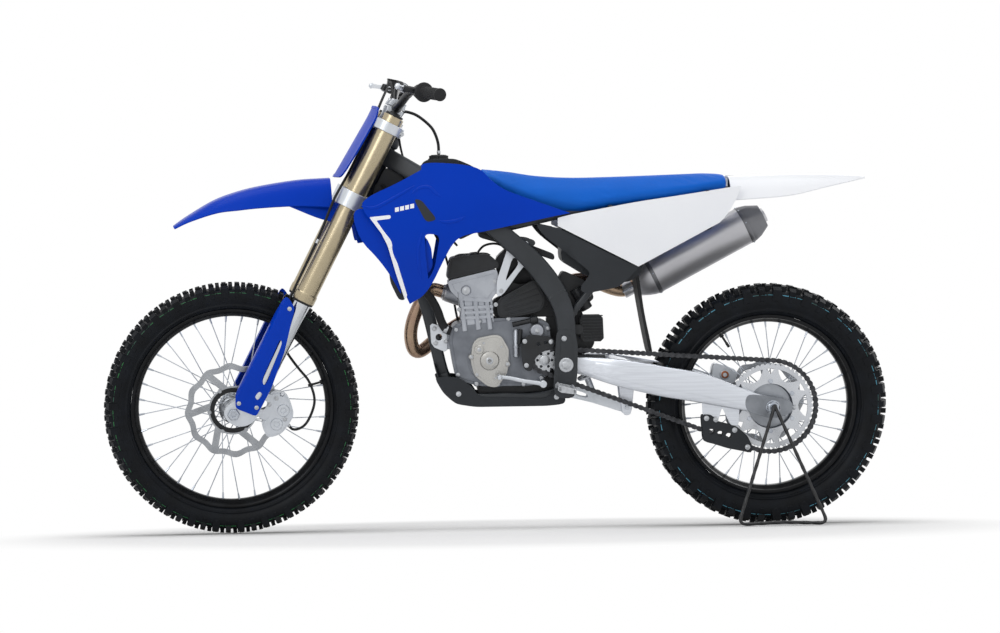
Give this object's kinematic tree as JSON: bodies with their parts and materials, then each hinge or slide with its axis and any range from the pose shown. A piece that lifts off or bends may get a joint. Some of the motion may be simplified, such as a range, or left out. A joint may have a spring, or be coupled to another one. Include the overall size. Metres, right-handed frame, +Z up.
{
  "type": "motocross bike",
  "caption": "Off-road motorcycle leaning on a triangle stand, with turning wheels and handlebar, a fixed chain loop and swingarm.",
  "frame": {"origin": "centre of the bounding box's base, on the floor", "axes": "+X forward along the bike, +Y to the rider's left, +Z up; the bike leans 8 degrees to its left on the stand"},
  "size_m": [2.1726, 0.8018, 1.2959],
  "materials": {
    "black_plastic": "matte black",
    "blue_plastic": "gloss blue",
    "silencer_metal": "dull",
    "cast_alloy": "cast satin",
    "dark_metal": "black satin",
    "dark_frame": "satin dark grey",
    "fork_coating": "hard anodised",
    "heated_steel": "bronze tint",
    "grip_rubber": "matte",
    "seat_cover": "grippy blue",
    "bright_steel": "brushed",
    "tyre_rubber": "matte",
    "white_plastic": "gloss white"
  },
  "bodies": {
    "chassis": {"frame": "dark_frame", "subframe": "dark_frame", "engine": "cast_alloy", "engine_mounts": "cast_alloy", "valve_cover": "dark_metal", "ignition_cover": "cast_alloy", "clutch_cover": "dark_metal", "drive_sprocket": "bright_steel", "radiators": "cast_alloy", "fuel_tank": "black_plastic", "tank_cap": "dark_metal", "shroud_left": "blue_plastic", "shroud_right": "blue_plastic", "side_panel_left": "white_plastic", "side_panel_right": "white_plastic", "lower_covers": "black_plastic", "seat": "seat_cover", "airbox": "black_plastic", "rear_fender": "white_plastic", "mud_flap": "grip_rubber", "header_pipe": "heated_steel", "silencer": "silencer_metal", "swingarm": "cast_alloy", "rear_axle": "bright_steel", "rear_caliper": "cast_alloy", "chain": "bright_steel", "chain_slider": "black_plastic", "shock": "bright_steel", "linkage": "dark_metal", "footpegs": "bright_steel", "foot_controls": "cast_alloy", "skid_plate": "black_plastic", "stand": "dark_metal", "vent_hose": "grip_rubber", "radiator_hoses": "grip_rubber", "side_covers": "black_plastic", "engine_fittings": "cast_alloy", "regulator": "black_plastic"},
    "steering": {"fork_clamps": "cast_alloy", "fork_tubes": "fork_coating", "fork_legs": "bright_steel", "front_axle": "bright_steel", "fork_guards": "blue_plastic", "handlebar": "dark_metal", "grips": "grip_rubber", "hand_controls": "cast_alloy", "number_plate": "blue_plastic", "front_fender": "blue_plastic", "front_caliper": "cast_alloy", "brake_hose": "grip_rubber"},
    "front_wheel": {"front_tyre": "tyre_rubber", "front_rim": "dark_metal", "front_hub": "cast_alloy", "front_disc": "bright_steel"},
    "rear_wheel": {"rear_tyre": "tyre_rubber", "rear_rim": "dark_metal", "rear_hub": "cast_alloy", "rear_disc": "bright_steel", "sprocket": "bright_steel"}
  },
  "joints": [
    {"name": "steering", "type": "hinge", "parent": "chassis", "child": "steering", "pos_m": [0.69018, -0.12, 0.3212], "axis": [-0.453, 0.124, 0.8828], "range_deg": [-48, 36]},
    {"name": "front_wheel_spin", "type": "hinge", "parent": "steering", "child": "front_wheel", "pos_m": [0.74258, -0.11017, 0.3467], "axis": [-0.0933, 0.9782, -0.1853], "continuous": true},
    {"name": "rear_wheel_spin", "type": "hinge", "parent": "chassis", "child": "rear_wheel", "pos_m": [-0.74214, -0.11794, 0.33742], "axis": [-0.0001, 0.9903, -0.1392], "continuous": true}
  ]
}
